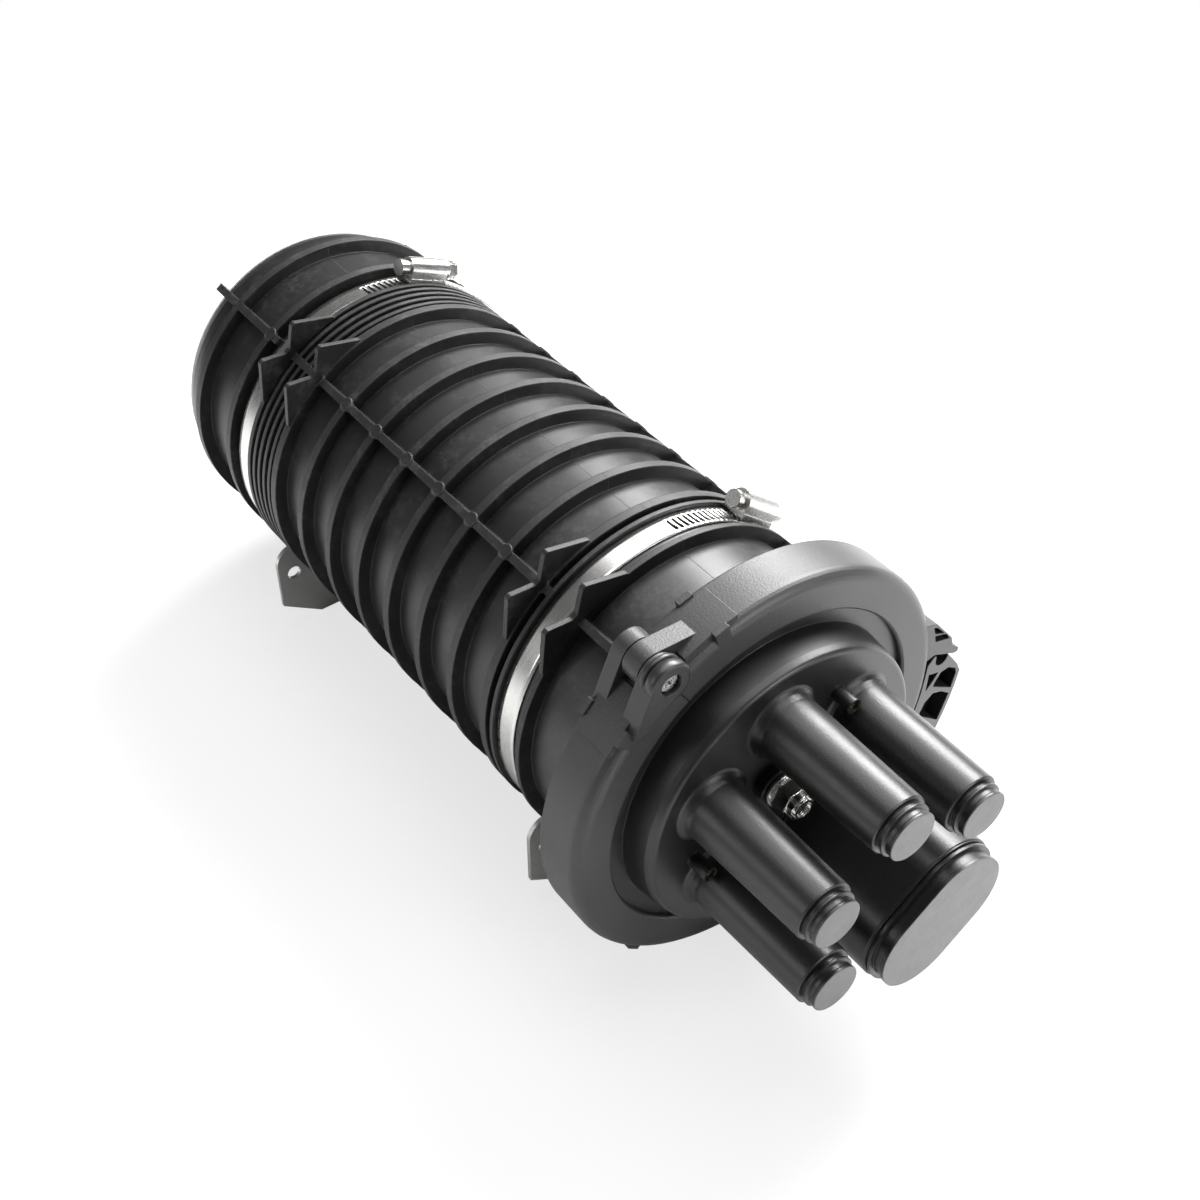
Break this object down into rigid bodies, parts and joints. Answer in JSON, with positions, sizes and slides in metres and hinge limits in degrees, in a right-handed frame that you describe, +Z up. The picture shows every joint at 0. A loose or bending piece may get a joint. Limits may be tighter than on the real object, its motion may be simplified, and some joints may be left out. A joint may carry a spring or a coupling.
{
  "type": "dome splice closure",
  "caption": "Ribbed black dome closure lying on its brackets, with a port base, hinged clamp hoop with latch, steel bands, valve and splice trays inside.",
  "frame": {"origin": "middle of the underside, on the plane the bracket feet stand on", "axes": "+X along the closure's axis towards the ports, +Y towards the latch lever, +Z up"},
  "size_m": [0.5274, 0.2478, 0.222],
  "materials": {
    "black_plastic": "matte, fine moulded grain",
    "band_steel": "rolled stainless steel",
    "bracket_steel": "satin stainless steel",
    "chrome": "polished",
    "pin_steel": "turned",
    "rubber": "smooth",
    "brass": "machined",
    "tray_plastic": "satin",
    "comb_plastic": "soft satin",
    "cover_plastic": "clear, glossy",
    "sheet": "bead blasted"
  },
  "bodies": {
    "base": {"base": "black_plastic", "o_ring": "rubber", "clamp_lower": "black_plastic", "hinge_pin": "pin_steel", "valve_body": "chrome", "valve_gasket": "rubber", "valve_nut": "chrome", "earth_inserts": "brass", "carrier_frame": "sheet", "frame_screws": "pin_steel", "slack_basket": "tray_plastic", "tray_hinge": "tray_plastic", "tray_hinge_pins": "pin_steel", "anchor_bar": "sheet", "anchor_clamps": "sheet", "anchor_screws": "pin_steel"},
    "dome": {"dome": "black_plastic", "band_front": "band_steel", "band_rear": "band_steel", "screw_housing_front": "band_steel", "screw_housing_rear": "band_steel", "bracket_front": "bracket_steel", "bracket_rear": "bracket_steel"},
    "screw_front": {"worm_screw_front": "pin_steel"},
    "screw_rear": {"worm_screw_rear": "pin_steel"},
    "clamp_upper": {"clamp_upper": "black_plastic", "latch_pin": "pin_steel"},
    "latch": {"latch_lever": "black_plastic", "hook_pin": "pin_steel"},
    "hook": {"latch_hook": "black_plastic"},
    "valve_cap": {"valve_cap": "chrome"},
    "tray_1": {"splice_tray_1": "tray_plastic", "splice_comb_1": "comb_plastic"},
    "tray_2": {"splice_tray_2": "tray_plastic", "splice_comb_2": "comb_plastic"},
    "tray_3": {"splice_tray_3": "tray_plastic", "splice_comb_3": "comb_plastic"},
    "tray_4": {"splice_tray_4": "tray_plastic", "splice_comb_4": "comb_plastic", "tray_cover": "cover_plastic"}
  },
  "joints": [
    {"name": "dome_pull", "type": "slide", "parent": "base", "child": "dome", "axis": [-1, 0, 0], "range_m": [0, 0.4]},
    {"name": "clamp_open", "type": "hinge", "parent": "base", "child": "clamp_upper", "pos_m": [0.1544, -0.07486, 0.20772], "axis": [1, 0, 0], "range_deg": [0, 80]},
    {"name": "latch_open", "type": "hinge", "parent": "clamp_upper", "child": "latch", "pos_m": [0.1529, 0.06294, 0.01748], "axis": [-1, 0, 0], "range_deg": [0, 100]},
    {"name": "hook_turn", "type": "hinge", "parent": "latch", "child": "hook", "pos_m": [0.1529, 0.07456, 0.02511], "axis": [1, 0, 0], "range_deg": [0, 100]},
    {"name": "band_screw_front_turn", "type": "hinge", "parent": "dome", "child": "screw_front", "pos_m": [0.0824, 0.04676, 0.18688], "axis": [0, 0.7771, -0.6293], "continuous": true},
    {"name": "band_screw_rear_turn", "type": "hinge", "parent": "dome", "child": "screw_rear", "pos_m": [-0.1757, 0.02377, 0.20069], "axis": [0, 0.9205, -0.3907], "continuous": true},
    {"name": "valve_cap_turn", "type": "hinge", "parent": "base", "child": "valve_cap", "pos_m": [0.1969, -0.02309, 0.12446], "axis": [1, 0, 0], "continuous": true},
    {"name": "tray_1_swing", "type": "hinge", "parent": "base", "child": "tray_1", "pos_m": [0.0873, -0.0148, 0.11326], "axis": [0, 0.8039, 0.5948], "range_deg": [0, 3.5]},
    {"name": "tray_2_swing", "type": "hinge", "parent": "base", "child": "tray_2", "pos_m": [0.0873, -0.02194, 0.1229], "axis": [0, 0.8039, 0.5948], "range_deg": [0, 3.5]},
    {"name": "tray_3_swing", "type": "hinge", "parent": "base", "child": "tray_3", "pos_m": [0.0873, -0.02908, 0.13255], "axis": [0, 0.8039, 0.5948], "range_deg": [0, 3.5]},
    {"name": "tray_4_swing", "type": "hinge", "parent": "base", "child": "tray_4", "pos_m": [0.0873, -0.03622, 0.1422], "axis": [0, 0.8039, 0.5948], "range_deg": [0, 3.5]}
  ],
  "couplings": [
    {"joint": "hook_turn", "follows": "latch_open", "ratio": 1},
    {"joint": "tray_2_swing", "follows": "tray_1_swing", "ratio": 1},
    {"joint": "tray_3_swing", "follows": "tray_1_swing", "ratio": 1},
    {"joint": "tray_4_swing", "follows": "tray_1_swing", "ratio": 1}
  ]
}
